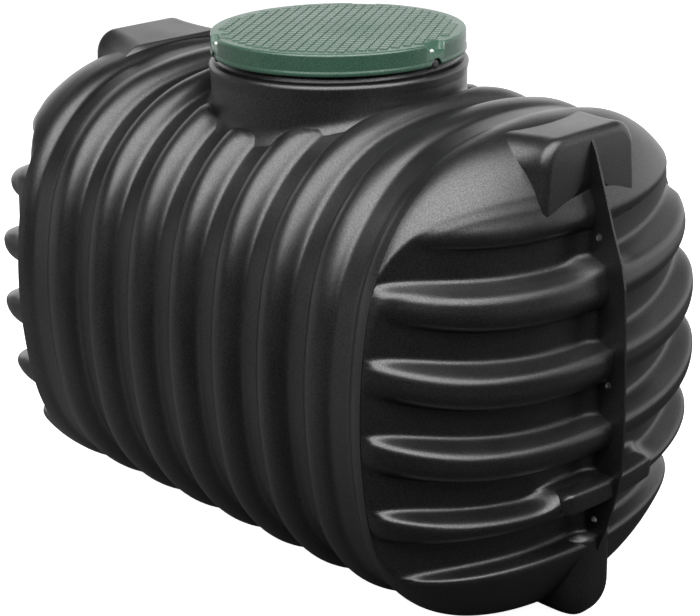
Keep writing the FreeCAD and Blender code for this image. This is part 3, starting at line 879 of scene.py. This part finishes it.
def treadMesh(s):
    along = np.array([math.cos(s["along"]), math.sin(s["along"])])
    across = np.array([-along[1], along[0]])
    count = int(s["reach"] / s["cell"])
    half = (s["cell"] - s["gap"]) / 2
    places = s["cell"] * np.arange(-count, count + 1)
    u, v = (grid.ravel() for grid in np.meshgrid(places, places))
    limit = np.sqrt(np.maximum(s["reach"] ** 2 - (np.abs(u) + half) ** 2, 0))
    halfLong = (s["cell"] - s["crossGap"]) / 2
    low, high = np.maximum(v - halfLong, -limit), np.minimum(v + halfLong, limit)
    kept = high - low > s["shortest"]
    centre = u[kept, None] * across + ((low + high) / 2)[kept, None] * along
    base = lidSettings["top"] - s["bedded"]
    return boxField(centre, along, across, ((high - low) / 2)[kept], half, base, s)


treadPoints, treadFaces = treadMesh(treadSettings)
treadInside = treadSettings["inside"]
treadPiece = makePiece("lidTread", treadPoints, treadFaces, treadInside, "lid", greenPe)
treadPiece.data.polygons.foreach_set("use_smooth", np.zeros(len(treadPiece.data.polygons), bool))
print("tread made")

# Locks: a bright screw head in each pocket and a black stub in the arch below it.
lockSettings = {
    "headRadius": 0.0055,
    "headHeight": 0.006,
    "headSunk": 0.002,
    "headAt": 0.2925,      # from the lid's axis
    "headBack": 1.5,       # degrees short of the pocket's middle
    "stubRadius": 0.011,
    "stubInner": 0.287,
    "stubOuter": 0.2985,
    "stubMiddle": 0.293,
    "stubHeight": 0.6335,
    "stubEdge": 0.002,
    "stubShares": (1.0, 1.0, 0.85, 0.4),
    "columns": 32,
    "bendPoints": 7,
}


# Half an ellipsoid on a short stem.
def headRings(centre, s):
    turn = np.linspace(0, 2 * math.pi, s["columns"] + 1)[:-1][None, :]
    bend = np.linspace(0, math.pi / 2, s["bendPoints"])[:, None]
    r = np.concatenate([np.full((1, 1), s["headRadius"]), s["headRadius"] * np.cos(bend)])
    z = np.concatenate([np.full((1, 1), -s["headSunk"]), s["headHeight"] * np.sin(bend)])
    x = centre[0] + r * np.cos(turn)
    y = centre[1] + r * np.sin(turn)
    return np.stack([x, y, centre[2] + z + 0 * turn], -1)


# A short round bar that points out from the lid's axis.
def stubRings(angle, s):
    turn = np.linspace(0, 2 * math.pi, s["columns"] + 1)[:-1][None, :]
    outer = s["stubOuter"]
    reach = np.array([s["stubInner"], outer - s["stubEdge"], outer, outer])[:, None]
    size = s["stubRadius"] * np.array(s["stubShares"])[:, None]
    across = size * np.cos(turn)
    x = reach * math.cos(angle) - across * math.sin(angle)
    y = reach * math.sin(angle) + across * math.cos(angle)
    return np.stack([x, y, s["stubHeight"] + size * np.sin(turn)], -1)


def atAngle(reach, angle, height):
    return reach * math.cos(angle), reach * math.sin(angle), height


for index, lock in enumerate(lidSettings["locks"], start=1):
    angle = math.radians(lock - lockSettings["headBack"])
    spot = atAngle(lockSettings["headAt"], angle, lidSettings["pocketFloor"])
    head = headRings(spot, lockSettings)
    ringPiece("lockScrew%d" % index, head, spot, "lid", zincScrew, ("lid_screw_%d" % index,))
    stub = stubRings(math.radians(lock), lockSettings)
    stubInside = atAngle(lockSettings["stubMiddle"], angle, lockSettings["stubHeight"])
    ringPiece("lockStub%d" % index, stub, stubInside, "lid", blackPe)
print("locks made")


# Floor: a wide white sheet under the feet. What the tank mirrors of it is painted: painted shade,
# dark by the near end, standing in for the shade under the tank, and a painted reflection, paler
# along the barrel.
floorSettings = {
    "half": 14.0,
    "roughness": 0.9,
    "glow": 0.95,
    "white": 0.8,
    # Painted shade and painted reflection in what the tank mirrors: dark by the near end, paler along the
    # barrel.
    "paintedShadeAtX": 0.7,
    "paintedShadeTone": 0.02,
    "paintedReflectionAtX": -0.6,
    "paintedReflectionTone": 0.17,
}


def makeFloor(s):
    half = s["half"]
    data = bpy.data.meshes.new("whiteFloor")
    corners = [(-half, -half, 0), (half, -half, 0), (half, half, 0), (-half, half, 0)]
    data.from_pydata(corners, [], [(0, 1, 2, 3)])
    material = bpy.data.materials.new("whiteFloor")
    material.use_nodes = True
    nodes, links = material.node_tree.nodes, material.node_tree.links
    shader = nodes["Principled BSDF"]
    shader.inputs["Roughness"].default_value = s["roughness"]
    shader.inputs["Emission Color"].default_value = (1, 1, 1, 1)
    path = nodes.new("ShaderNodeLightPath")
    glow = nodes.new("ShaderNodeMath")
    glow.operation = "MULTIPLY"
    glow.inputs[1].default_value = s["glow"]
    paint = nodes.new("ShaderNodeMix")
    paint.data_type = "RGBA"
    place = nodes.new("ShaderNodeTexCoord")
    axes = nodes.new("ShaderNodeSeparateXYZ")
    # Painted shade: the colour that the tank mirrors runs from dark by the near end to paler along the
    # barrel.
    paintedShadeRamp = nodes.new("ShaderNodeMapRange")
    paintedShadeRamp.inputs["From Min"].default_value = s["paintedShadeAtX"]
    paintedShadeRamp.inputs["From Max"].default_value = s["paintedReflectionAtX"]
    paintedShadeRamp.inputs["To Min"].default_value = s["paintedShadeTone"]
    paintedShadeRamp.inputs["To Max"].default_value = s["paintedReflectionTone"]
    links.new(place.outputs["Object"], axes.inputs["Vector"])
    links.new(axes.outputs["X"], paintedShadeRamp.inputs["Value"])
    links.new(paintedShadeRamp.outputs["Result"], paint.inputs["A"])
    paint.inputs["B"].default_value = (s["white"], s["white"], s["white"], 1)
    links.new(path.outputs["Is Camera Ray"], paint.inputs["Factor"])
    links.new(paint.outputs["Result"], shader.inputs["Base Color"])
    links.new(path.outputs["Is Camera Ray"], glow.inputs[0])
    links.new(glow.outputs["Value"], shader.inputs["Emission Strength"])
    data.materials.append(material)
    floor = bpy.data.objects.new("whiteFloor", data)
    scene.collection.objects.link(floor)


# Bright sheets out of the camera's sight: a backdrop that the top and the limbs mirror, and a
# dimmer card on each side for the end wall and the barrel.
backdropSettings = {"name": "brightBackdrop", "turn": 0.0, "away": 3.6, "half": 5.0,
                    "low": 0.05, "high": 3.2, "glow": 1.5}
leftSettings = {"name": "leftCard", "turn": -75.0, "away": 4.5, "half": 2.6,
                "low": 0.02, "high": 2.0, "glow": 0.45}
rightSettings = {"name": "rightCard", "turn": 75.0, "away": 4.5, "half": 2.6,
                 "low": 0.05, "high": 3.0, "glow": 1.1}


def makeSheet(s):
    yaw = math.radians(cameraSettings["yaw"] + s["turn"])
    middle = np.array([math.sin(yaw), math.cos(yaw)]) * s["away"]
    along = np.array([math.cos(yaw), -math.sin(yaw)]) * s["half"]
    left, right = middle - along, middle + along
    data = bpy.data.meshes.new(s["name"])
    corners = [(*left, s["low"]), (*right, s["low"]), (*right, s["high"]), (*left, s["high"])]
    data.from_pydata(corners, [], [(0, 1, 2, 3)])
    material = bpy.data.materials.new(s["name"])
    material.use_nodes = True
    shader = material.node_tree.nodes["Principled BSDF"]
    shader.inputs["Base Color"].default_value = (0, 0, 0, 1)
    shader.inputs["Emission Color"].default_value = (1, 1, 1, 1)
    shader.inputs["Emission Strength"].default_value = s["glow"]
    data.materials.append(material)
    sheet = bpy.data.objects.new(s["name"], data)
    sheet.visible_camera = False
    scene.collection.objects.link(sheet)


makeFloor(floorSettings)
makeSheet(backdropSettings)
makeSheet(leftSettings)
makeSheet(rightSettings)
print("floor and backdrop made")
